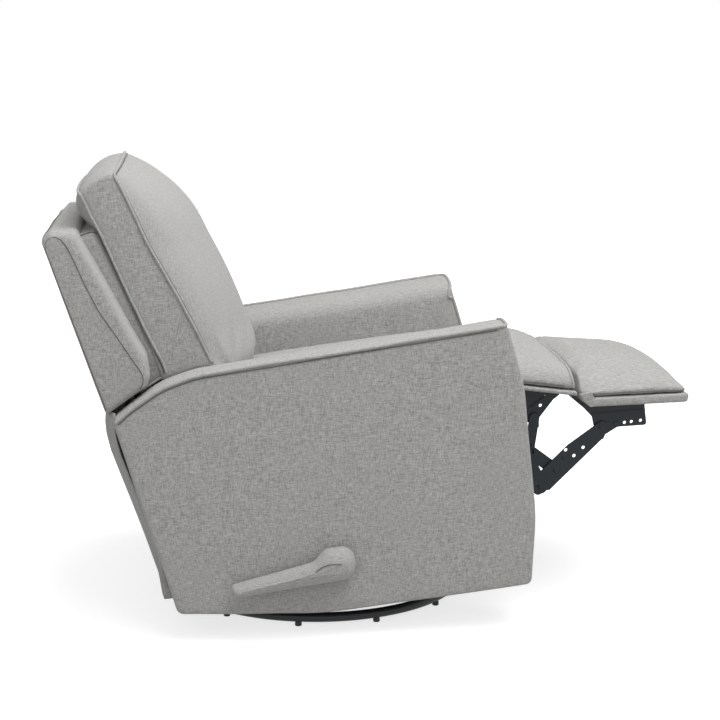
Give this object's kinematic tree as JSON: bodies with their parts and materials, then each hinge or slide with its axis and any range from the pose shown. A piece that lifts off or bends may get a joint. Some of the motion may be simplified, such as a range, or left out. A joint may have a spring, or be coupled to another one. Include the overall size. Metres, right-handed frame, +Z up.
{
  "type": "swivel glider recliner",
  "caption": "Upholstered recliner chair with padded arms, pillow back and side lever, on a round swivel base with a gliding carriage and an opened scissor-link footrest",
  "frame": {"origin": "On the floor, on the vertical axis that the chair swivels about", "axes": "+X is the way the sitter faces and the footrest opens, +Y is the sitter's left, +Z is up along the swivel axis"},
  "size_m": [1.3228, 0.82, 0.9537],
  "materials": {
    "black_steel": "satin black powder coat",
    "mechanism_steel": "semi-gloss blue-black paint on pressed steel",
    "pin_steel": "plain zinc-plated rivets and pins",
    "black_plastic": "moulded black nylon",
    "black_rubber": "black rubber",
    "upholstery": "light warm grey heathered linen weave with self welts",
    "webbing": "black elastic webbing",
    "frame_wood": "plain plywood and hardwood"
  },
  "bodies": {
    "base": {"base_ring": "black_steel", "base_glides": "black_plastic", "base_spider": "black_steel", "swivel_lower_plate": "black_steel", "swivel_bearing_ring": "black_plastic", "swivel_king_pin": "pin_steel"},
    "swivel_frame": {"swivel_upper_plate": "black_steel", "glider_frame": "black_steel", "glider_upper_pins": "pin_steel"},
    "glide_front_links": {"glide_links_front": "black_steel"},
    "glide_rear_links": {"glide_links_rear": "black_steel"},
    "carriage": {"carriage_rails": "black_steel", "carriage_tubes": "black_steel", "carriage_pins": "pin_steel", "tilt_bumpers": "black_rubber", "tilt_pins": "pin_steel"},
    "chair": {"mechanism_plates": "mechanism_steel", "mechanism_pins": "pin_steel", "cross_tubes": "mechanism_steel", "right_arm": "upholstery", "left_arm": "upholstery", "seat_rails": "frame_wood", "seat_webbing": "webbing", "seat_cushion": "upholstery", "rear_rail": "frame_wood", "rear_flap": "upholstery"},
    "lever": {"torque_tube": "mechanism_steel", "lever_handle": "upholstery"},
    "drive_rods": {"drive_rods": "mechanism_steel"},
    "footrest_drive": {"drive_links": "mechanism_steel"},
    "footrest_long": {"long_links": "mechanism_steel"},
    "cross_links": {"cross_links": "mechanism_steel"},
    "lift_links": {"lift_links": "mechanism_steel"},
    "flap": {"flap_brackets": "mechanism_steel", "flap_board": "upholstery", "flap_pad": "upholstery"},
    "footrest_panel": {"footrest_brackets": "mechanism_steel", "footrest_cross_rail": "mechanism_steel", "footrest_board": "upholstery", "footrest_pad": "upholstery"},
    "back": {"outer_back": "upholstery", "back_block": "upholstery", "back_brackets": "mechanism_steel", "back_cushion": "upholstery"}
  },
  "joints": [
    {"name": "swivel", "type": "hinge", "parent": "base", "child": "swivel_frame", "pos_m": [0, 0, 0.04], "axis": [0, 0, 1], "continuous": true},
    {"name": "glide_front", "type": "hinge", "parent": "swivel_frame", "child": "glide_front_links", "pos_m": [0.12, 0, 0.185], "axis": [0, 1, 0], "range_deg": [-24, 24]},
    {"name": "glide_carriage", "type": "hinge", "parent": "glide_front_links", "child": "carriage", "pos_m": [0.12, 0, 0.075], "axis": [0, 1, 0], "range_deg": [-24.1, 24.1]},
    {"name": "glide_rear", "type": "hinge", "parent": "swivel_frame", "child": "glide_rear_links", "pos_m": [-0.12, 0, 0.185], "axis": [0, 1, 0], "range_deg": [-24.1, 24.1]},
    {"name": "seat_tilt", "type": "hinge", "parent": "carriage", "child": "chair", "pos_m": [-0.1, 0, 0.19], "axis": [0, 1, 0], "range_deg": [0, 6.12]},
    {"name": "footrest", "type": "hinge", "parent": "chair", "child": "footrest_drive", "pos_m": [0.36803, 0, 0.41702], "axis": [0, 1, 0], "range_deg": [0, 103.86]},
    {"name": "footrest_knee", "type": "hinge", "parent": "footrest_drive", "child": "footrest_long", "pos_m": [0.44707, 0, 0.26556], "axis": [0, 1, 0], "range_deg": [-27.42, 0]},
    {"name": "footrest_board", "type": "hinge", "parent": "footrest_long", "child": "footrest_panel", "pos_m": [0.57647, 0, 0.39102], "axis": [0, 1, 0], "range_deg": [0, 9.76]},
    {"name": "cross_pivot", "type": "hinge", "parent": "footrest_long", "child": "cross_links", "pos_m": [0.48061, 0, 0.29801], "axis": [0, 1, 0], "range_deg": [0, 56.98]},
    {"name": "flap_pivot", "type": "hinge", "parent": "chair", "child": "flap", "pos_m": [0.39927, 0, 0.45878], "axis": [0, 1, 0], "range_deg": [0, 86.42]},
    {"name": "lift_pivot", "type": "hinge", "parent": "flap", "child": "lift_links", "pos_m": [0.43491, 0, 0.41039], "axis": [0, 1, 0], "range_deg": [-56.9, 0]},
    {"name": "lever", "type": "hinge", "parent": "chair", "child": "lever", "pos_m": [0.01316, 0, 0.15684], "axis": [0, 1, 0], "range_deg": [0, 103.88]},
    {"name": "drive_rod_pivot", "type": "hinge", "parent": "lever", "child": "drive_rods", "pos_m": [0.05071, 0, 0.15096], "axis": [0, 1, 0], "range_deg": [-103.88, 0]},
    {"name": "recline", "type": "hinge", "parent": "chair", "child": "back", "pos_m": [-0.30524, 0, 0.22841], "axis": [0, -1, 0], "range_deg": [0, 27]}
  ],
  "couplings": [
    {"joint": "glide_carriage", "follows": "glide_front", "ratio": -1},
    {"joint": "glide_rear", "follows": "glide_front", "ratio": 1},
    {"joint": "seat_tilt", "follows": "footrest", "ratio": 0.058733},
    {"joint": "footrest_knee", "follows": "footrest", "ratio": -0.26382},
    {"joint": "footrest_board", "follows": "footrest", "ratio": 0.09378},
    {"joint": "cross_pivot", "follows": "footrest", "ratio": 0.54843},
    {"joint": "flap_pivot", "follows": "footrest", "ratio": 0.83189},
    {"joint": "lift_pivot", "follows": "footrest", "ratio": -0.54766},
    {"joint": "lever", "follows": "footrest", "ratio": 1},
    {"joint": "drive_rod_pivot", "follows": "footrest", "ratio": -1}
  ]
}
